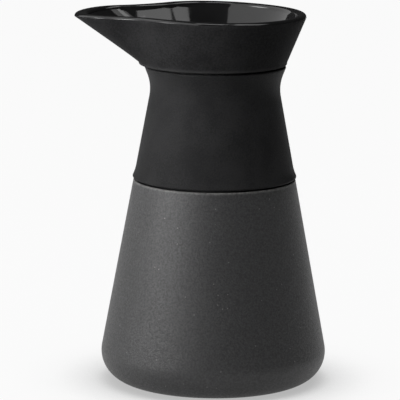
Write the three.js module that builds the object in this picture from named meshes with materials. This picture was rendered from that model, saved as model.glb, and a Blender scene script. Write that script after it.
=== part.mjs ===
// Milk jug: a slip-cast stoneware vessel with a silicone grip sleeve stretched round its waist.
// Units are millimetres and +Z is up. The origin is the middle of the flat underside.
// The spout points along -X.
import * as THREE from "three";

// Body: a steep cone that stands on a rounded foot
const bodyHeight = 85.4;
const bodyRadius = 47.1;
const shoulderRadius = 33.8;
const footRounding = 12.3;
const shoulderRounding = 0.5;

// Grip: the waist between the body's shoulder and the collar's foot, which the sleeve fills
const gripHeight = 49;
const gripTopRadius = 29.9;
const waistRounding = 17;

// Collar: the funnel above the grip, with a short upright land at its foot
const collarHeight = 20.6;
const collarFootRadius = 30.6;
const collarFootShift = 1;
const landHeight = 0.9;
const landRounding = 0.4;
const rimRadius = 37.6;
const lipRounding = 1.4;

// Spout: a blunt nose joined to the round rim by two hollow flanks
const spoutReach = 59.3;
const noseRadius = 20;
const flankRadius = 48;

// Stoneware walls
const bodyWall = 4.2;
const neckWall = 3.6;
const collarWall = 3.2;
const floorThickness = 5;
const floorRounding = 9;
const innerBlend = 9;

// Sleeve: how thick it is, how it sits in the grip, and the bead round its lower edge
const sleeveThickness = 2;
const sleeveClearance = 0.3;
const sleeveEndGap = 0.8;
const beadProud = 0.6;
const beadHeight = 5;
const sleeveRounding = 0.5;

// Steps that the round surfaces are divided into
const stepsRound = 72;
const footSteps = 6;
const edgeSteps = 3;
const waistSteps = 7;
const beadSteps = 4;

const shoulderZ = bodyHeight;
const collarZ = shoulderZ + gripHeight;
const rimZ = collarZ + collarHeight;
const landTopZ = collarZ + landHeight;
const lipRadius = Math.min(lipRounding, collarWall / 2);
const lipFootZ = rimZ - lipRadius;

// The cone's lean: the line from the shoulder that just touches the foot's rounding
const footCentre = new THREE.Vector2(bodyRadius - footRounding, footRounding);
const shoulderPoint = new THREE.Vector2(shoulderRadius, shoulderZ);
const footToShoulder = shoulderPoint.clone().sub(footCentre);
const coneLean = footToShoulder.angle() - Math.acos(footRounding / footToShoulder.length());
const coneNormal = new THREE.Vector2(Math.cos(coneLean), Math.sin(coneLean));

// The collar's lean, which the top of the grip already follows
const collarLean = Math.atan2(rimRadius - gripTopRadius, lipFootZ - collarZ);
const collarNormal = new THREE.Vector2(Math.cos(collarLean), -Math.sin(collarLean));
const gripTopPoint = new THREE.Vector2(gripTopRadius, collarZ);

// Where the point lies that is at a given distance from two lines, each a point and a normal
function pointBesideLines(pointA, normalA, distanceA, pointB, normalB, distanceB) {
  const reachA = pointA.dot(normalA) + distanceA;
  const reachB = pointB.dot(normalB) + distanceB;
  const across = normalA.cross(normalB);
  return new THREE.Vector2(
    (reachA * normalB.y - reachB * normalA.y) / across,
    (reachB * normalA.x - reachA * normalB.x) / across,
  );
}

const waistCentre = pointBesideLines(
  shoulderPoint, coneNormal, waistRounding,
  gripTopPoint, collarNormal, waistRounding,
);
const waistStartZ = waistCentre.y - waistRounding * coneNormal.y;
const waistEndZ = waistCentre.y - waistRounding * collarNormal.y;

function coneRadius(z) {
  return shoulderRadius - (z - shoulderZ) * Math.tan(coneLean);
}

// The outline that the grip shows: the cone carried on, the waist's arc, then the collar's lean
function gripRadius(z) {
  if (z <= waistStartZ) {
    return coneRadius(z);
  }
  if (z >= waistEndZ) {
    return gripTopRadius + (z - collarZ) * Math.tan(collarLean);
  }
  return waistCentre.x - Math.sqrt(waistRounding ** 2 - (z - waistCentre.y) ** 2);
}

// Plan of the rim, as a distance from the axis at an angle from the spout's direction
const noseCentre = spoutReach - noseRadius;
const flankCentre = rimRadius + flankRadius;
const noseToFlank = noseRadius + flankRadius;
const flankAlong = (flankCentre ** 2 - noseToFlank ** 2 + noseCentre ** 2) / (2 * noseCentre);
const flankAside = Math.sqrt(flankCentre ** 2 - flankAlong ** 2);
const flankAngle = Math.atan2(flankAside, flankAlong);
const noseShare = noseRadius / noseToFlank;
const noseEndAngle = Math.atan2(
  flankAside * noseShare,
  noseCentre + (flankAlong - noseCentre) * noseShare,
);

function rimPlan(angle) {
  if (angle <= noseEndAngle) {
    const aside = noseCentre * Math.sin(angle);
    return noseCentre * Math.cos(angle) + Math.sqrt(noseRadius ** 2 - aside ** 2);
  }
  if (angle < flankAngle) {
    const aside = flankCentre * Math.sin(flankAngle - angle);
    return flankCentre * Math.cos(flankAngle - angle) - Math.sqrt(flankRadius ** 2 - aside ** 2);
  }
  return rimRadius;
}

// Plan of the collar's foot, a circle moved a little towards the spout
function collarFootPlan(angle) {
  const aside = collarFootShift * Math.sin(angle);
  return collarFootShift * Math.cos(angle) + Math.sqrt(collarFootRadius ** 2 - aside ** 2);
}

// The wall of the collar, measured level: it is longer where the spout leans out further
function levelCollarWall(angle) {
  const lean = (rimPlan(angle) - collarFootPlan(angle)) / (lipFootZ - landTopZ);
  return collarWall * Math.hypot(1, lean);
}

// Angles from the spout's direction, folded so that both sides are alike
function angleFromSpout(step) {
  return Math.min(step, stepsRound - step) * 2 * Math.PI / stepsRound;
}

// A closed solid of rings from the middle of the underside to the middle of the floor
function ringSolid(undersideZ, rings, floorZ) {
  const positions = [0, 0, undersideZ];
  for (const ring of rings) {
    for (let step = 0; step < stepsRound; step += 1) {
      const turn = step * 2 * Math.PI / stepsRound;
      const radius = ring.plan(angleFromSpout(step));
      positions.push(-radius * Math.cos(turn), -radius * Math.sin(turn), ring.z);
    }
  }
  positions.push(0, 0, floorZ);
  const lastPoint = positions.length / 3 - 1;
  const indices = [];
  for (let step = 0; step < stepsRound; step += 1) {
    const here = 1 + step;
    const next = 1 + (step + 1) % stepsRound;
    indices.push(0, next, here);
    for (let low = 0; low < (rings.length - 1) * stepsRound; low += stepsRound) {
      const high = low + stepsRound;
      indices.push(low + here, low + next, high + here);
      indices.push(low + next, high + next, high + here);
    }
    const top = (rings.length - 1) * stepsRound;
    indices.push(top + here, top + next, lastPoint);
  }
  const geometry = new THREE.BufferGeometry();
  geometry.setAttribute("position", new THREE.Float32BufferAttribute(positions, 3));
  geometry.setIndex(indices);
  geometry.computeVertexNormals();
  return geometry;
}

function roundRing(radius, z) {
  return { z, plan: () => radius };
}

// Points along an arc, from one angle to another, both ends included
function arcPoints(centre, radius, from, to, steps) {
  const points = [];
  for (let step = 0; step <= steps; step += 1) {
    const angle = from + (to - from) * step / steps;
    const away = new THREE.Vector2(Math.cos(angle), Math.sin(angle)).multiplyScalar(radius);
    points.push(centre.clone().add(away));
  }
  return points;
}

// Heights from one level to another, both ends included
function levels(from, to, steps) {
  return Array.from({ length: steps + 1 }, (_, step) => from + (to - from) * step / steps);
}

// Heights at which the grip's outline is drawn between two limits, close together round the waist
function gripLevels(lowZ, highZ) {
  const waist = levels(waistStartZ, waistEndZ, waistSteps);
  return [lowZ, ...waist.filter((z) => z > lowZ && z < highZ), highZ];
}

// The stoneware outside, from the underside up to the collar's foot
function outsideRings() {
  const foot = arcPoints(footCentre, footRounding, -Math.PI / 2, coneLean, footSteps);
  const edgeCentre = pointBesideLines(
    shoulderPoint, coneNormal, -shoulderRounding,
    shoulderPoint, new THREE.Vector2(0, 1), -shoulderRounding,
  );
  const edge = arcPoints(edgeCentre, shoulderRounding, coneLean, Math.PI / 2, edgeSteps);
  const seatDepth = sleeveThickness + sleeveClearance;
  return [
    ...foot.map((point) => roundRing(point.x, point.y)),
    ...edge.map((point) => roundRing(point.x, point.y)),
    ...gripLevels(shoulderZ, collarZ).map((z) => roundRing(gripRadius(z) - seatDepth, z)),
  ];
}

// The collar outside: its foot, the upright land and the straight wall up to the lip
function collarRings() {
  const landTurns = levels(-Math.PI / 2, 0, edgeSteps);
  const footEdge = landTurns.map((turn) => ({
    z: collarZ + landRounding * (1 + Math.sin(turn)),
    plan: (angle) => collarFootPlan(angle) - landRounding * (1 - Math.cos(turn)),
  }));
  return [
    ...footEdge,
    { z: landTopZ, plan: collarFootPlan },
  ];
}

// The lip: a rounded outer edge, a narrow flat top and a rounded inner edge
function lipRings() {
  const outerTurns = levels(0, Math.PI / 2, edgeSteps);
  const outer = outerTurns.map((turn) => ({
    z: lipFootZ + lipRadius * Math.sin(turn),
    plan: (angle) => rimPlan(angle) - lipRadius * (1 - Math.cos(turn)),
  }));
  const inner = outerTurns.reverse().map((turn) => ({
    z: lipFootZ + lipRadius * Math.sin(turn),
    plan: (angle) => rimPlan(angle) - levelCollarWall(angle) + lipRadius * (1 - Math.cos(turn)),
  }));
  return [...outer, ...inner];
}

// The inside, from the throat under the collar down through the neck and body to the floor
function insideRings() {
  const neckDepth = sleeveThickness + sleeveClearance + neckWall;
  const throatRadius = gripRadius(collarZ) - neckDepth;
  const blendTopZ = shoulderZ + innerBlend;
  const blendFootZ = shoulderZ - innerBlend;
  const neckLevels = gripLevels(blendTopZ, collarZ).reverse();
  const innerWall = bodyWall / Math.cos(coneLean);
  const floorPoint = new THREE.Vector2(0, floorThickness);
  const cornerCentre = pointBesideLines(
    shoulderPoint, coneNormal, -bodyWall - floorRounding,
    floorPoint, new THREE.Vector2(0, 1), floorRounding,
  );
  const corner = arcPoints(cornerCentre, floorRounding, coneLean, -Math.PI / 2, footSteps);
  return [
    roundRing(throatRadius, landTopZ),
    ...neckLevels.map((z) => roundRing(gripRadius(z) - neckDepth, z)),
    roundRing(coneRadius(blendFootZ) - innerWall, blendFootZ),
    ...corner.map((point) => roundRing(point.x, point.y)),
  ];
}

function makeVessel() {
  const rings = [...outsideRings(), ...collarRings(), ...lipRings(), ...insideRings()];
  const material = new THREE.MeshStandardMaterial({
    color: "#3d3d3f",
    roughness: 0.85,
    metalness: 0,
  });
  const mesh = new THREE.Mesh(ringSolid(0, rings, floorThickness), material);
  mesh.name = "stoneware_vessel";
  return mesh;
}

// The sleeve's outer face: the grip's outline, and the bead that swells towards the lower edge
function sleeveRadius(z, footZ) {
  const share = Math.min(1, Math.max(0, (z - footZ) / beadHeight));
  return gripRadius(z) + beadProud * (1 - share) ** 2;
}

function makeSleeve() {
  const footZ = shoulderZ + sleeveEndGap;
  const topZ = collarZ - sleeveEndGap;
  const outerLevels = [
    ...levels(footZ + sleeveRounding, footZ + beadHeight, beadSteps).slice(0, -1),
    ...gripLevels(footZ + beadHeight, topZ - sleeveRounding),
  ];
  const innerLevels = gripLevels(footZ, topZ).reverse();
  const footCorner = sleeveRadius(footZ + sleeveRounding, footZ) - sleeveRounding;
  const topCorner = gripRadius(topZ - sleeveRounding) - sleeveRounding;
  const footArc = arcPoints(
    new THREE.Vector2(footCorner, footZ + sleeveRounding),
    sleeveRounding, -Math.PI / 2, 0, edgeSteps,
  );
  const topArc = arcPoints(
    new THREE.Vector2(topCorner, topZ - sleeveRounding),
    sleeveRounding, 0, Math.PI / 2, edgeSteps,
  );
  const profile = [
    ...footArc.slice(0, -1),
    ...outerLevels.map((z) => new THREE.Vector2(sleeveRadius(z, footZ), z)),
    ...topArc.slice(1),
    ...innerLevels.map((z) => new THREE.Vector2(gripRadius(z) - sleeveThickness, z)),
  ];
  profile.push(profile[0].clone());
  const geometry = new THREE.LatheGeometry(profile, stepsRound);
  geometry.rotateX(Math.PI / 2);
  const material = new THREE.MeshStandardMaterial({
    color: "#242527",
    roughness: 0.7,
    metalness: 0,
  });
  const mesh = new THREE.Mesh(geometry, material);
  mesh.name = "grip_sleeve";
  return mesh;
}

const milkJug = new THREE.Group();
milkJug.add(makeVessel(), makeSleeve());

export default milkJug;
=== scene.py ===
# Milk jug: a black stoneware jug with a gloss-glazed inside, and a silicone grip sleeve round its waist.
# Everything is in metres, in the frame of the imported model: +Z up, spout along -X.
import math
import bmesh
import bpy
import numpy as np
from mathutils import Matrix, Quaternion, Vector


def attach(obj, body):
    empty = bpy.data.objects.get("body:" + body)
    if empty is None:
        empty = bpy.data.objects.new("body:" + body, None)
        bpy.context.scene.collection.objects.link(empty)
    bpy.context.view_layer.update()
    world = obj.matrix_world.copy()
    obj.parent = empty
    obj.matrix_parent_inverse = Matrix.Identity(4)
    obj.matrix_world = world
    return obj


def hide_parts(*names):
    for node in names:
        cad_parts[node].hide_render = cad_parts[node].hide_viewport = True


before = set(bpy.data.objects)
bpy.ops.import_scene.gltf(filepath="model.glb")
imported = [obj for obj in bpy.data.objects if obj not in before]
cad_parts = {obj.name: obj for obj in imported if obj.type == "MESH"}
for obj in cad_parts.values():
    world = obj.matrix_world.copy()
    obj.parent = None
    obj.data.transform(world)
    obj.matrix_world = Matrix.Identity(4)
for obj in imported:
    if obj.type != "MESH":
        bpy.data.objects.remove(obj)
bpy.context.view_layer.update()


# Stoneware vessel: body, waist, collar and spout are slip-cast in one piece of black clay.
# The body's outside is bare, dry and finely speckled, and a smoother black slip covers the waist
# and the collar. The inside is glazed a glossy black that ends in a wiped line round the lip.
body_height = 0.0854
body_radius = 0.0471
shoulder_radius = 0.0338
foot_rounding = 0.0123
shoulder_rounding = 0.0005
grip_height = 0.0485
grip_top_radius = 0.0299
waist_rounding = 0.017
collar_height = 0.0211
collar_foot_radius = 0.0308
collar_foot_shift = 0.001
land_height = 0.0009
land_rounding = 0.0004
rim_radius = 0.0376
lip_rounding = 0.0014
spout_reach = 0.0588
nose_radius = 0.020
flank_radius = 0.048
body_wall = 0.0042
neck_wall = 0.0036
collar_wall = 0.0032
floor_thickness = 0.005
floor_rounding = 0.009
inner_blend = 0.009
sleeve_seat = 0.0023
rim_swell = 0.0008
swell_angle = math.radians(64)
swell_spread = math.radians(40)
tip_dip = 0.0006
tip_spread = math.radians(16)
glaze_edge_rise = 0.0003

collar_z = body_height + grip_height
rim_z = collar_z + collar_height
land_top_z = collar_z + land_height
lip_foot_z = rim_z - lip_rounding


def crossing(point_a, normal_a, distance_a, point_b, normal_b, distance_b):
    """The point that lies at the given distances from two lines in the outline's plane."""
    reach_a = point_a.dot(normal_a) + distance_a
    reach_b = point_b.dot(normal_b) + distance_b
    across = normal_a.x * normal_b.y - normal_a.y * normal_b.x
    return Vector((
        (reach_a * normal_b.y - reach_b * normal_a.y) / across,
        (reach_b * normal_a.x - reach_a * normal_b.x) / across,
    ))


# The cone of the body touches the foot's rounding, and the collar's line starts under the land
foot_centre = Vector((body_radius - foot_rounding, foot_rounding))
shoulder_point = Vector((shoulder_radius, body_height))
foot_to_shoulder = shoulder_point - foot_centre
shoulder_bearing = math.atan2(foot_to_shoulder.y, foot_to_shoulder.x)
cone_lean = shoulder_bearing - math.acos(foot_rounding / foot_to_shoulder.length)
cone_normal = Vector((math.cos(cone_lean), math.sin(cone_lean)))
collar_lean = math.atan2(rim_radius - grip_top_radius, lip_foot_z - collar_z)
collar_normal = Vector((math.cos(collar_lean), -math.sin(collar_lean)))
grip_top_point = Vector((grip_top_radius, collar_z))
waist_centre = crossing(shoulder_point, cone_normal, waist_rounding,
                        grip_top_point, collar_normal, waist_rounding)
waist_start_z = waist_centre.y - waist_rounding * cone_normal.y
waist_end_z = waist_centre.y - waist_rounding * collar_normal.y


def cone_radius(z):
    """The body's radius on its cone."""
    return shoulder_radius - (z - body_height) * math.tan(cone_lean)


def grip_radius(z):
    """The outline that the sleeve shows: the cone carried on, the waist's arc, the collar's lean."""
    if z <= waist_start_z:
        return cone_radius(z)
    if z >= waist_end_z:
        return grip_top_radius + (z - collar_z) * math.tan(collar_lean)
    return waist_centre.x - math.sqrt(waist_rounding ** 2 - (z - waist_centre.y) ** 2)


# The rim seen from above: a round back, two hollow flanks and a blunt nose
nose_centre = spout_reach - nose_radius
flank_centre = rim_radius + flank_radius
nose_to_flank = nose_radius + flank_radius
flank_along = (flank_centre ** 2 - nose_to_flank ** 2 + nose_centre ** 2) / (2 * nose_centre)
flank_aside = math.sqrt(flank_centre ** 2 - flank_along ** 2)
flank_angle = math.atan2(flank_aside, flank_along)
nose_share = nose_radius / nose_to_flank
nose_end_along = nose_centre + (flank_along - nose_centre) * nose_share
nose_end_angle = math.atan2(flank_aside * nose_share, nose_end_along)


def rim_plan(angle):
    """The rim's distance from the axis, at an angle from the spout."""
    if angle <= nose_end_angle:
        aside = nose_centre * math.sin(angle)
        return nose_centre * math.cos(angle) + math.sqrt(nose_radius ** 2 - aside ** 2)
    if angle < flank_angle:
        turn = flank_angle - angle
        aside = flank_centre * math.sin(turn)
        return flank_centre * math.cos(turn) - math.sqrt(flank_radius ** 2 - aside ** 2)
    return rim_radius


def collar_foot_plan(angle):
    """The same for the collar's foot, a circle set a little towards the spout."""
    aside = collar_foot_shift * math.sin(angle)
    return collar_foot_shift * math.cos(angle) + math.sqrt(collar_foot_radius ** 2 - aside ** 2)


# Each column of the mesh stands at one angle from the spout, the same on both sides
steps_round = 288
turns = [step * 2 * math.pi / steps_round for step in range(steps_round)]
spout_angles = np.array([min(turn, 2 * math.pi - turn) for turn in turns])
rim_row = np.array([rim_plan(angle) for angle in spout_angles])
collar_foot_row = np.array([collar_foot_plan(angle) for angle in spout_angles])
collar_wall_row = collar_wall * np.hypot(1, (rim_row - collar_foot_row) / (lip_foot_z - land_top_z))

# Pulling the spout pinched the rim: it stands a little higher where each flank meets the round back,
# and dips at the spout's tip
rim_lift_row = rim_swell * np.exp(-((spout_angles - swell_angle) / swell_spread) ** 2)
rim_lift_row -= tip_dip * np.exp(-(spout_angles / tip_spread) ** 2)


def spread(start, end, steps):
    """Evenly spaced values from start to end, with both ends."""
    return [start + (end - start) * step / steps for step in range(steps + 1)]


def arc(centre, radius, start, end, steps):
    """Points of an arc in the outline's plane."""
    return [(centre.x + radius * math.cos(angle), centre.y + radius * math.sin(angle))
            for angle in spread(start, end, steps)]


# The wall is built of rings, each a pair: its distance from the axis and its height. Either is one
# number where the ring is round or level, or a row with a number for each column.
foot_steps = 20
cone_steps = 16
shoulder_steps = 6
recess_steps = 48
land_steps = 5
collar_steps = 14
lip_steps = 8
inner_collar_steps = 18
inner_waist_steps = 30
inner_cone_steps = 8
floor_corner_steps = 12
middle_ring_share = 0.5

# How often each wave of the wiped edge goes round the lip, its depth, and where it starts
wiping_waves = ((2, 0.00012, 0.4), (3, 0.00010, 2.1), (7, 0.00006, 1.3), (13, 0.00004, 4.0))


def body_rings():
    """The underside, the foot's rounding, the cone and the body's top edge."""
    edge_centre = crossing(shoulder_point, cone_normal, -shoulder_rounding,
                           shoulder_point, Vector((0, 1)), -shoulder_rounding)
    rings = arc(foot_centre, foot_rounding, -math.pi / 2, cone_lean, foot_steps)
    cone_foot_z = rings[-1][1]
    rings += [(cone_radius(z), z) for z in spread(cone_foot_z, edge_centre.y, cone_steps)[1:-1]]
    rings += arc(edge_centre, shoulder_rounding, cone_lean, math.pi / 2, shoulder_steps)
    return [(rings[0][0] * middle_ring_share, 0.0)] + rings


def collar_ring(foot, top, share):
    """A ring some way up the collar's outer or inner face, between its foot and the lip."""
    return (foot + (top - foot) * share,
            land_top_z + (lip_foot_z - land_top_z) * share + rim_lift_row * share)


def waist_rings():
    """The ledge under the sleeve, the recess, the land and the collar's outside up to the lip."""
    rings = [(grip_radius(z) - sleeve_seat, z) for z in spread(body_height, collar_z, recess_steps)]
    for turn in spread(-math.pi / 2, 0, land_steps):
        rings.append((collar_foot_row - land_rounding * (1 - math.cos(turn)),
                      collar_z + land_rounding * (1 + math.sin(turn))))
    return rings + [collar_ring(collar_foot_row, rim_row, share) for share in spread(0, 1, collar_steps)]


def wiped_edge():
    """How far round the lip's outer rounding the glaze ends, wandering as the lip was wiped by hand."""
    rise_row = np.full(steps_round, glaze_edge_rise)
    for waves, depth, start in wiping_waves:
        rise_row += depth * np.sin(waves * np.array(turns) + start)
    return np.arcsin(rise_row / lip_rounding)


def glazed_rings():
    """The lip from the glaze's edge over to the inside, then the inner wall down to the floor."""
    rings = []
    edge_row = wiped_edge()
    for share in spread(0, 1, lip_steps):
        turn_row = edge_row + (math.pi / 2 - edge_row) * share
        rings.append((rim_row - lip_rounding * (1 - np.cos(turn_row)),
                      lip_foot_z + lip_rounding * np.sin(turn_row) + rim_lift_row))
    inner_lip_row = rim_row - collar_wall_row
    for turn in spread(math.pi / 2, 0, lip_steps):
        rings.append((inner_lip_row + lip_rounding * (1 - math.cos(turn)),
                      lip_foot_z + lip_rounding * math.sin(turn) + rim_lift_row))
    neck_depth = sleeve_seat + neck_wall
    throat_radius = grip_radius(collar_z) - neck_depth
    rings += [collar_ring(throat_radius, inner_lip_row, share)
              for share in spread(1, 0, inner_collar_steps)[1:]]
    rings += [(grip_radius(z) - neck_depth, z)
              for z in spread(collar_z, body_height + inner_blend, inner_waist_steps)]
    inner_wall = body_wall / math.cos(cone_lean)
    corner_centre = crossing(shoulder_point, cone_normal, -body_wall - floor_rounding,
                             Vector((0, floor_thickness)), Vector((0, 1)), floor_rounding)
    corner = arc(corner_centre, floor_rounding, cone_lean, -math.pi / 2, floor_corner_steps)
    rings += [(cone_radius(z) - inner_wall, z)
              for z in spread(body_height - inner_blend, corner[0][1], inner_cone_steps)[:-1]]
    return rings + corner + [(corner[-1][0] * middle_ring_share, floor_thickness)]


bare_rings = body_rings()
slip_rings = waist_rings()
glaze_rings = glazed_rings()
cos_row = np.cos(turns)
sin_row = np.sin(turns)
points = [(0.0, 0.0, 0.0)]
for radius, z in bare_rings + slip_rings + glaze_rings:
    points += zip(-radius * cos_row, -radius * sin_row, np.broadcast_to(z, steps_round))
points.append((0.0, 0.0, floor_thickness))

# A fan of faces closes each end, and a band of them joins each ring to the next
following = [(step + 1) % steps_round for step in range(steps_round)]
last_ring = len(points) - 1 - steps_round
faces = [(0, 1 + following[step], 1 + step) for step in range(steps_round)]
for low in range(1, last_ring, steps_round):
    high = low + steps_round
    faces += [(low + step, low + following[step], high + following[step], high + step)
              for step in range(steps_round)]
faces += [(last_ring + step, last_ring + following[step], len(points) - 1) for step in range(steps_round)]

# The mesh has its three finishes in this order: bare clay, slip, glaze
band_finishes = [0] * len(bare_rings) + [1] * (len(slip_rings) + 1) + [2] * len(glaze_rings)
face_finishes = np.repeat(band_finishes, steps_round)

crease_angle = math.radians(34)
vessel_mesh = bpy.data.meshes.new("jug_vessel")
vessel_mesh.from_pydata(points, [], faces)
vessel_mesh.polygons.foreach_set("material_index", face_finishes)
vessel_mesh.polygons.foreach_set("use_smooth", [True] * len(faces))
vessel_mesh.set_sharp_from_angle(angle=crease_angle)
vessel_mesh.update()
vessel = bpy.data.objects.new("jug_vessel", vessel_mesh)
bpy.context.scene.collection.objects.link(vessel)


def add_node(tree, kind, sockets, **settings):
    """Adds a node with its settings, and fills its sockets by value or from another node's output."""
    node = tree.nodes.new(kind)
    for name, value in settings.items():
        setattr(node, name, value)
    for socket, value in sockets.items():
        if isinstance(value, bpy.types.NodeSocket):
            tree.links.new(value, node.inputs[socket])
        else:
            node.inputs[socket].default_value = value
    return node


def blank_finish(name):
    """A material with no nodes yet, and its tree."""
    material = bpy.data.materials.new(name)
    material.use_nodes = True
    material.node_tree.nodes.clear()
    return material, material.node_tree


def piece_place(tree):
    """The piece's own coordinates, which its patterns follow."""
    return add_node(tree, "ShaderNodeTexCoord", {}).outputs["Object"]


def piece_height(tree, place):
    """The height above the table."""
    return add_node(tree, "ShaderNodeSeparateXYZ", {"Vector": place}).outputs["Z"]


def noise(tree, place, scale, detail, roughness):
    sockets = {"Vector": place, "Scale": scale, "Detail": detail, "Roughness": roughness}
    return add_node(tree, "ShaderNodeTexNoise", sockets).outputs["Fac"]


def remap(tree, value, given, wanted=(0, 1)):
    """Carries values over from one range to another."""
    sockets = {"Value": value, "From Min": given[0], "From Max": given[1],
               "To Min": wanted[0], "To Max": wanted[1]}
    return add_node(tree, "ShaderNodeMapRange", sockets).outputs["Result"]


def calculate(tree, operation, *values, clamp=False):
    sockets = dict(enumerate(values))
    return add_node(tree, "ShaderNodeMath", sockets, operation=operation, use_clamp=clamp).outputs[0]


def blend_colour(tree, share, first, second, mode="MIX"):
    """Mixes two colours, which a Mix node takes in its sockets 6 and 7 and gives in its output 2."""
    sockets = {0: share, 6: first, 7: second}
    return add_node(tree, "ShaderNodeMix", sockets, data_type="RGBA", blend_type=mode).outputs[2]


# The ranges of a noise, and of the mean of two, that the finishes draw out into their own
noise_reach = (0.3, 0.7)
mean_reach = (0.42, 0.58)


def cloudy_share(tree, slow, fine):
    """The mean of a slow and a fine noise, drawn out to run from 0 to 1."""
    mean = calculate(tree, "MULTIPLY", calculate(tree, "ADD", slow, fine), 0.5)
    return remap(tree, mean, mean_reach)


def close_finish(tree, colour, roughness, specular, relief, bump_strength, bump_depth, ior=1.5):
    """Ends a finish: its colour, roughness and relief go into the shader, and that into the output."""
    bump = {"Height": relief, "Strength": bump_strength, "Distance": bump_depth}
    shader = add_node(tree, "ShaderNodeBsdfPrincipled", {
        "Base Color": colour,
        "Roughness": roughness,
        "IOR": ior,
        "Specular IOR Level": specular,
        "Normal": add_node(tree, "ShaderNodeBump", bump).outputs["Normal"],
    })
    add_node(tree, "ShaderNodeOutputMaterial", {"Surface": shader.outputs["BSDF"]})


clay_dark = (0.015, 0.015, 0.0157, 1)
clay_light = (0.044, 0.044, 0.0448, 1)
grit_pale = (0.16, 0.158, 0.152, 1)
# A pale clay colour, for the rubbed foot and for the painted highlight along the shoulder's edge
clay_rubbed_and_highlight = (0.16, 0.158, 0.154, 1)
clay_roughness = (0.53, 0.44)
mottle_reach = (0.36, 0.64)
drift_shades = (0.93, 1.07)
grit_cells = 520
grit_rarity = 0.93
grit_size = 0.13
foot_rub_heights = (0.0012, 0.0)
foot_rub_shares = (0, 0.5)
# Where the painted highlight lies along the shoulder's edge
shoulder_highlight_heights = (body_height - 0.0011, body_height - 0.0003)
patch_reach = (0.4, 0.6)
patch_shares = (0.3, 1)
grain_relief = 0.6


def bare_stoneware():
    """Dry black clay: fine mottle, a slow drift from the kiln, pale grit, a rubbed foot, and a painted
    highlight along the shoulder's edge.
    """
    material, tree = blank_finish("bare_stoneware")
    place = piece_place(tree)
    drift = noise(tree, place, scale=45, detail=3, roughness=0.5)
    mottle = noise(tree, place, scale=1250, detail=3, roughness=0.6)
    grain = noise(tree, place, scale=2400, detail=3, roughness=0.6)
    colour = blend_colour(tree, remap(tree, mottle, mottle_reach), clay_dark, clay_light)
    shade = remap(tree, drift, noise_reach, drift_shades)
    tint = add_node(tree, "ShaderNodeCombineColor", {"Red": shade, "Green": shade, "Blue": shade})
    colour = blend_colour(tree, 1.0, colour, tint.outputs[0], "MULTIPLY")

    # Of the cells of a fine pattern only a few hold a speck of grit, in their middle
    cells = add_node(tree, "ShaderNodeTexVoronoi", {"Vector": place, "Scale": grit_cells}).outputs
    draw = add_node(tree, "ShaderNodeSeparateColor", {"Color": cells["Color"]}).outputs[0]
    chosen = calculate(tree, "GREATER_THAN", draw, grit_rarity)
    in_speck = calculate(tree, "LESS_THAN", cells["Distance"], grit_size)
    colour = blend_colour(tree, calculate(tree, "MULTIPLY", chosen, in_speck), colour, grit_pale)

    # The foot is lighter where the clay is rubbed, and the shoulder's edge is lighter as a painted
    # highlight; patches break up both
    height = piece_height(tree, place)
    foot_lightening = remap(tree, height, foot_rub_heights, foot_rub_shares)
    shoulder_highlight = remap(tree, height, shoulder_highlight_heights)
    patch_noise = noise(tree, place, scale=700, detail=5, roughness=0.7)
    scuff_and_highlight_patches = remap(tree, patch_noise, patch_reach, patch_shares)
    rub_and_highlight = calculate(tree, "MULTIPLY", calculate(tree, "ADD", foot_lightening, shoulder_highlight), scuff_and_highlight_patches, clamp=True)
    colour = blend_colour(tree, rub_and_highlight, colour, clay_rubbed_and_highlight)

    # Lighter spots of the mottle are also smoother
    roughness = remap(tree, mottle, mottle_reach, clay_roughness)
    relief = calculate(tree, "ADD", calculate(tree, "MULTIPLY", grain, grain_relief), mottle)
    close_finish(tree, colour, roughness, specular=0.5, relief=relief,
                 bump_strength=0.8, bump_depth=0.0002)
    return material


slip_dark = (0.0165, 0.0165, 0.0172, 1)
slip_light = (0.0305, 0.0305, 0.0313, 1)
# A paler slip colour, painted as a highlight round the collar's foot
slip_highlight = (0.06, 0.06, 0.0605, 1)
slip_roughness = (0.7, 0.8)
collar_highlight_heights = (land_top_z + 0.0006, land_top_z - 0.0002)
collar_highlight_shares = (0, 0.35)
collar_highlight_bottom = collar_z + 0.0001


def matt_collar():
    """A thin black slip that fired smoother and darker than the clay, with a painted highlight round the
    collar's foot.
    """
    material, tree = blank_finish("matt_collar")
    place = piece_place(tree)
    drift = noise(tree, place, scale=60, detail=3, roughness=0.5)
    mottle = noise(tree, place, scale=1300, detail=4, roughness=0.65)
    colour = blend_colour(tree, cloudy_share(tree, drift, mottle), slip_dark, slip_light)
    # A painted highlight lightens a band round the collar's foot, above its underside
    height = piece_height(tree, place)
    on_collar = calculate(tree, "GREATER_THAN", height, collar_highlight_bottom)
    foot_lightening = remap(tree, height, collar_highlight_heights, collar_highlight_shares)
    colour = blend_colour(tree, calculate(tree, "MULTIPLY", foot_lightening, on_collar), colour, slip_highlight)
    roughness = remap(tree, drift, noise_reach, slip_roughness)
    close_finish(tree, colour, roughness, specular=0.04, relief=mottle,
                 bump_strength=0.6, bump_depth=0.00012)
    return material


glaze_dark = (0.009, 0.009, 0.0093, 1)
glaze_light = (0.012, 0.012, 0.0123, 1)
glaze_roughness = (0.05, 0.09)
ripple_relief = 0.12


def gloss_glaze():
    """Glossy black glaze, with the faint unevenness of a poured coat."""
    material, tree = blank_finish("gloss_glaze")
    place = piece_place(tree)
    flow = noise(tree, place, scale=60, detail=2, roughness=0.5)
    ripple = noise(tree, place, scale=420, detail=2, roughness=0.5)
    colour = blend_colour(tree, remap(tree, flow, noise_reach), glaze_dark, glaze_light)
    roughness = remap(tree, ripple, noise_reach, glaze_roughness)
    relief = calculate(tree, "ADD", calculate(tree, "MULTIPLY", ripple, ripple_relief), flow)
    close_finish(tree, colour, roughness, specular=0.5, relief=relief,
                 bump_strength=0.15, bump_depth=0.00025)
    return material


for finish in (bare_stoneware, matt_collar, gloss_glaze):
    vessel_mesh.materials.append(finish())
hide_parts("stoneware_vessel")
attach(vessel, "root")


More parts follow.
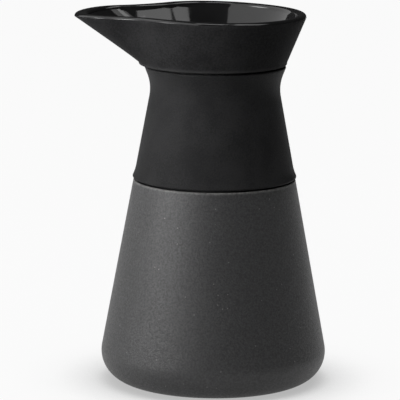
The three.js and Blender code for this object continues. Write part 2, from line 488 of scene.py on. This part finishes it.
# Grip sleeve: moulded in one ring of matt black silicone rubber and stretched over the collar
# into the recess round the waist. It fills the recess, and swells in a low bead at its foot.
sleeve_thickness = 0.002
sleeve_end_gap = 0.0008
bead_proud = 0.0008
bead_height = 0.005
sleeve_rounding = 0.0005
sleeve_sizes = {
    "Foot Z": body_height + sleeve_end_gap,
    "Top Z": collar_z - sleeve_end_gap,
    "Thickness": sleeve_thickness,
    "Edge Rounding": sleeve_rounding,
    "Bead Proud": bead_proud,
    "Bead Height": bead_height,
    "Shoulder Radius": shoulder_radius,
    "Shoulder Z": body_height,
    "Cone Slope": math.tan(cone_lean),
    "Waist Start Z": waist_start_z,
    "Waist End Z": waist_end_z,
    "Waist Centre Radius": waist_centre.x,
    "Waist Centre Z": waist_centre.y,
    "Waist Rounding": waist_rounding,
    "Collar Radius": grip_top_radius,
    "Collar Z": collar_z,
    "Collar Slope": math.tan(collar_lean),
}
sleeve_counts = {"Steps Up": 48, "Steps Round": 240, "Edge Steps": 4}

sleeve_tree = bpy.data.node_groups.new("grip_sleeve_shape", "GeometryNodeTree")
sleeve_tree.interface.new_socket("Geometry", in_out="OUTPUT", socket_type="NodeSocketGeometry")
sleeve_inputs = {}
for kind, names in (("Float", sleeve_sizes), ("Int", sleeve_counts), ("Material", ["Finish"])):
    for name in names:
        sleeve_inputs[name] = sleeve_tree.interface.new_socket(
            name, in_out="INPUT", socket_type="NodeSocket" + kind)
given = sleeve_tree.nodes.new("NodeGroupInput").outputs


def shape_node(kind, sockets, **settings):
    """The first output of a new node of the sleeve's tree."""
    return add_node(sleeve_tree, kind, sockets, **settings).outputs[0]


def reckon(operation, *values):
    return calculate(sleeve_tree, operation, *values)


def choose(condition, if_not, if_so):
    return shape_node("GeometryNodeSwitch", {0: condition, 1: if_not, 2: if_so}, input_type="FLOAT")


# The section is one closed line: up the outer face, then down the inner face
line_points = reckon("MULTIPLY", given["Steps Up"], 2.0)
index = shape_node("GeometryNodeInputIndex", {})
going_down = reckon("GREATER_THAN", index, reckon("SUBTRACT", given["Steps Up"], 0.5))
rung = reckon("MODULO", index, given["Steps Up"])
climbed = reckon("DIVIDE", rung, reckon("SUBTRACT", given["Steps Up"], 1.0))
share_up = choose(going_down, climbed, reckon("SUBTRACT", 1.0, climbed))
section_height = reckon("SUBTRACT", given["Top Z"], given["Foot Z"])
z_here = reckon("ADD", given["Foot Z"], reckon("MULTIPLY", share_up, section_height))

# Both faces follow the cone, the waist's arc or the collar's lean, by their height
over_shoulder = reckon("SUBTRACT", z_here, given["Shoulder Z"])
cone_change = reckon("MULTIPLY", over_shoulder, given["Cone Slope"])
on_cone = reckon("SUBTRACT", given["Shoulder Radius"], cone_change)
over_collar = reckon("SUBTRACT", z_here, given["Collar Z"])
collar_change = reckon("MULTIPLY", over_collar, given["Collar Slope"])
on_collar = reckon("ADD", given["Collar Radius"], collar_change)
over_waist = reckon("SUBTRACT", z_here, given["Waist Centre Z"])
over_waist_square = reckon("MULTIPLY", over_waist, over_waist)
waist_square = reckon("SUBTRACT", reckon("POWER", given["Waist Rounding"], 2.0), over_waist_square)
waist_hollow = reckon("SQRT", reckon("MAXIMUM", waist_square, 0.0))
on_waist = reckon("SUBTRACT", given["Waist Centre Radius"], waist_hollow)
past_cone = reckon("GREATER_THAN", z_here, given["Waist Start Z"])
past_waist = reckon("GREATER_THAN", z_here, given["Waist End Z"])
grip_here = choose(past_cone, on_cone, choose(past_waist, on_waist, on_collar))

# The bead stands proudest at the foot and fades out upwards
bead_share = reckon("DIVIDE", reckon("SUBTRACT", z_here, given["Foot Z"]), given["Bead Height"])
bead_fall = reckon("MAXIMUM", reckon("SUBTRACT", 1.0, bead_share), 0.0)
bead_here = reckon("MULTIPLY", given["Bead Proud"], reckon("MULTIPLY", bead_fall, bead_fall))
outer_here = reckon("ADD", grip_here, bead_here)
inner_here = reckon("SUBTRACT", grip_here, given["Thickness"])
radius_here = choose(going_down, outer_here, inner_here)

# The section lies on its side, measured from the circle that carries it round the axis
from_circle = reckon("SUBTRACT", radius_here, given["Collar Radius"])
laid_down = reckon("MULTIPLY", z_here, -1.0)
section_place = shape_node("ShaderNodeCombineXYZ", {"X": from_circle, "Y": laid_down})
section = shape_node("GeometryNodeMeshLine", {"Count": line_points})
section = shape_node("GeometryNodeSetPosition", {"Geometry": section, "Position": section_place})
section = shape_node("GeometryNodeMeshToCurve", {"Mesh": section})
section = shape_node("GeometryNodeSetSplineCyclic", {"Geometry": section, "Cyclic": True})

# Its four corners are rounded, and it is carried once round the axis
nearly_half = 0.4999
seam_gap = 0.00001
from_middle = reckon("ABSOLUTE", reckon("SUBTRACT", share_up, 0.5))
at_corner = reckon("GREATER_THAN", from_middle, nearly_half)
section = shape_node("GeometryNodeFilletCurve", {
    "Curve": section,
    "Count": given["Edge Steps"],
    "Radius": reckon("MULTIPLY", at_corner, given["Edge Rounding"]),
    "Limit Radius": True,
}, mode="POLY")
circle = shape_node("GeometryNodeCurvePrimitiveCircle", {
    "Resolution": given["Steps Round"],
    "Radius": given["Collar Radius"],
})
ring = shape_node("GeometryNodeCurveToMesh", {"Curve": circle, "Profile Curve": section})
ring = shape_node("GeometryNodeMergeByDistance", {"Geometry": ring, "Distance": seam_gap})
ring = shape_node("GeometryNodeRealizeInstances", {"Geometry": ring})
ring = shape_node("GeometryNodeSetMaterial", {"Geometry": ring, "Material": given["Finish"]})
add_node(sleeve_tree, "NodeGroupOutput", {0: ring})

rubber_dark = (0.0145, 0.0146, 0.0152, 1)
rubber_light = (0.0245, 0.0246, 0.0252, 1)
rubber_roughness = (0.57, 0.63)
dust_grey = (0.05, 0.05, 0.05, 1)
dust_reach = (0.66, 0.74)
dust_shares = (0, 0.35)


def silicone_rubber():
    """Matt moulded silicone: a cloudy black with a fine mould grain and a trace of dust."""
    material, tree = blank_finish("silicone_rubber")
    place = piece_place(tree)
    cloud = noise(tree, place, scale=70, detail=3, roughness=0.5)
    grain = noise(tree, place, scale=1700, detail=3, roughness=0.6)
    colour = blend_colour(tree, cloudy_share(tree, cloud, grain), rubber_dark, rubber_light)
    dust_noise = noise(tree, place, scale=1500, detail=5, roughness=0.75)
    dust = remap(tree, dust_noise, dust_reach, dust_shares)
    colour = blend_colour(tree, dust, colour, dust_grey)
    roughness = remap(tree, cloud, noise_reach, rubber_roughness)
    close_finish(tree, colour, roughness, specular=0.1, relief=grain,
                 bump_strength=0.7, bump_depth=0.00014, ior=1.42)
    return material


# The tree's result is turned into a plain mesh, whose normals then point outwards
sleeve_maker = bpy.data.objects.new("sleeve_maker", bpy.data.meshes.new("sleeve_maker"))
bpy.context.scene.collection.objects.link(sleeve_maker)
shaping = sleeve_maker.modifiers.new("shape", "NODES")
shaping.node_group = sleeve_tree
for name, value in {**sleeve_sizes, **sleeve_counts, "Finish": silicone_rubber()}.items():
    shaping[sleeve_inputs[name].identifier] = value
shaped = sleeve_maker.evaluated_get(bpy.context.evaluated_depsgraph_get())
sleeve_mesh = bpy.data.meshes.new_from_object(shaped)
sleeve_mesh.name = "jug_sleeve"
sleeve_maker.modifiers.remove(shaping)
bpy.data.objects.remove(sleeve_maker)
sleeve_edit = bmesh.new()
sleeve_edit.from_mesh(sleeve_mesh)
bmesh.ops.recalc_face_normals(sleeve_edit, faces=sleeve_edit.faces)
sleeve_edit.to_mesh(sleeve_mesh)
sleeve_edit.free()
sleeve_mesh.polygons.foreach_set("use_smooth", [True] * len(sleeve_mesh.polygons))
sleeve_mesh.update()
sleeve = bpy.data.objects.new("jug_sleeve", sleeve_mesh)
bpy.context.scene.collection.objects.link(sleeve)
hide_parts("grip_sleeve")
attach(sleeve, "root")


# Studio: a wide round floor of pale paper in a dark room. Two wide panels, one above the other, and
# a low softbox stand on the left, a softbox leans over from high on the right, and two hang overhead.
floor_reach = 2.6
floor_steps = 128
floor_turns = [2 * math.pi * step / floor_steps for step in range(floor_steps)]
floor_points = [(floor_reach * math.cos(turn), floor_reach * math.sin(turn), 0.0) for turn in floor_turns]
floor_mesh = bpy.data.meshes.new("studio_floor")
floor_mesh.from_pydata(floor_points, [], [tuple(range(floor_steps))])
floor = bpy.data.objects.new("studio_floor", floor_mesh)
bpy.context.scene.collection.objects.link(floor)

# The paper is grey to the lamps, and white to the camera and in reflections, where it darkens only
# round the jug's foot, as a soft shadow
paper_grey = (0.3, 0.3, 0.3, 1)
white = (1, 1, 1, 1)
shadow_reach = 0.04
shadow_samples = 8
shadow_depths = (0.4, 0.9)
shadow_shares = (0.45, 0.95)
paper, paper_tree = blank_finish("studio_paper")
seen = add_node(paper_tree, "ShaderNodeLightPath", {}).outputs
seen_share = calculate(paper_tree, "MAXIMUM", seen["Is Camera Ray"], seen["Is Glossy Ray"])
seen_share = calculate(paper_tree, "MAXIMUM", seen_share, seen["Is Transmission Ray"])
near_foot = add_node(paper_tree, "ShaderNodeAmbientOcclusion", {"Distance": shadow_reach},
                     samples=shadow_samples)
openness = remap(paper_tree, near_foot.outputs["AO"], shadow_depths, shadow_shares)
paper_mix = add_node(paper_tree, "ShaderNodeMixShader", {
    0: calculate(paper_tree, "MULTIPLY", seen_share, openness),
    1: add_node(paper_tree, "ShaderNodeBsdfDiffuse", {"Color": paper_grey}).outputs[0],
    2: add_node(paper_tree, "ShaderNodeEmission", {"Color": white, "Strength": 1.0}).outputs[0],
})
add_node(paper_tree, "ShaderNodeOutputMaterial", {"Surface": paper_mix.outputs[0]})
floor_mesh.materials.append(paper)

# The lamps and the camera take their bearings from a line a little to the right of the jug's side view
jug_turn = 0.0936
straight_up = Vector((0, 0, 1))


def studio_direction(azimuth, elevation):
    """A direction from the jug: azimuth in degrees to the right of the camera, elevation above level."""
    away = math.radians(azimuth) + jug_turn
    up = math.radians(elevation)
    return Vector((math.sin(away) * math.cos(up), -math.cos(away) * math.cos(up), math.sin(up)))


def softbox(name, azimuth, distance, raised, width, height, radiance,
            elevation=0, overhead=False, lean=0, grid=180):
    """A rectangular lamp that faces the jug, or down where it hangs overhead. Its power follows from
    how bright its face is. It may lean, and a grid over it narrows its beam to an angle, and
    brightens the middle of the beam by as much."""
    way = studio_direction(azimuth, elevation)
    lamp = bpy.data.lights.new(name, "AREA")
    lamp.shape = "RECTANGLE"
    lamp.size = width
    lamp.size_y = height
    lamp.energy = radiance * math.pi * width * height
    lamp.spread = math.radians(grid)
    box = bpy.data.objects.new(name, lamp)
    box.location = way * distance + straight_up * raised
    backwards = straight_up if overhead else way
    upright = backwards.to_track_quat("Z", "Y")
    box.rotation_euler = (upright @ Quaternion(straight_up, math.radians(lean))).to_euler()
    bpy.context.scene.collection.objects.link(box)


softbox("left_low_panel", azimuth=-77, distance=1.1, raised=0.35, width=3.2, height=0.6, radiance=1.3)
softbox("left_high_panel", azimuth=-77, distance=1.1, raised=1.53, width=3.2, height=1.76, radiance=1.4)
softbox("low_left_softbox", azimuth=-63, distance=0.95, raised=0.34, width=0.8, height=0.46,
        radiance=1.3, grid=45)
softbox("right_softbox", azimuth=63.6, elevation=53.6, distance=1.1, raised=0.12, width=0.45, height=0.6,
        radiance=2.3, lean=34)
softbox("front_top_softbox", azimuth=-6, distance=0.39, raised=1.25, width=0.52, height=0.42,
        radiance=3.4, overhead=True)
softbox("right_top_softbox", azimuth=69, distance=0.455, raised=1.25, width=0.35, height=0.72,
        radiance=1.3, overhead=True)

room_grey = (0.026, 0.026, 0.026, 1)
world = bpy.data.worlds.new("studio_room")
world.use_nodes = True
room = world.node_tree.nodes["Background"]
room.inputs["Color"].default_value = room_grey
room.inputs["Strength"].default_value = 1.0
bpy.context.scene.world = world

# The camera stands a little to the right of the spout's side view, and looks down about eleven degrees
camera_distance = 1.3
camera_height = 0.318
camera_pitch = 0.18389
camera_pan = -0.0046
camera_roll = 0.00674
focal_length = 284.58
sensor_width = 36
nearest_seen = 0.05
farthest_seen = 20
level_right = Vector((math.cos(jug_turn), math.sin(jug_turn), 0))
level_ahead = Vector((-math.sin(jug_turn), math.cos(jug_turn), 0))
right = level_right * math.cos(camera_pan) - level_ahead * math.sin(camera_pan)
ahead = level_right * math.sin(camera_pan) + level_ahead * math.cos(camera_pan)
looking = ahead * math.cos(camera_pitch) - straight_up * math.sin(camera_pitch)
upward = ahead * math.sin(camera_pitch) + straight_up * math.cos(camera_pitch)
rolled_right = right * math.cos(camera_roll) + upward * math.sin(camera_roll)
rolled_up = upward * math.cos(camera_roll) - right * math.sin(camera_roll)
facing = Matrix((rolled_right, rolled_up, -looking)).transposed().to_4x4()
facing.translation = straight_up * camera_height - level_ahead * camera_distance
lens = bpy.data.cameras.new("camera")
lens.sensor_width = sensor_width
lens.lens = focal_length
lens.clip_start = nearest_seen
lens.clip_end = farthest_seen
camera = bpy.data.objects.new("camera", lens)
camera.matrix_world = facing
bpy.context.scene.collection.objects.link(camera)
bpy.context.scene.camera = camera
bpy.context.scene.view_settings.view_transform = "Standard"
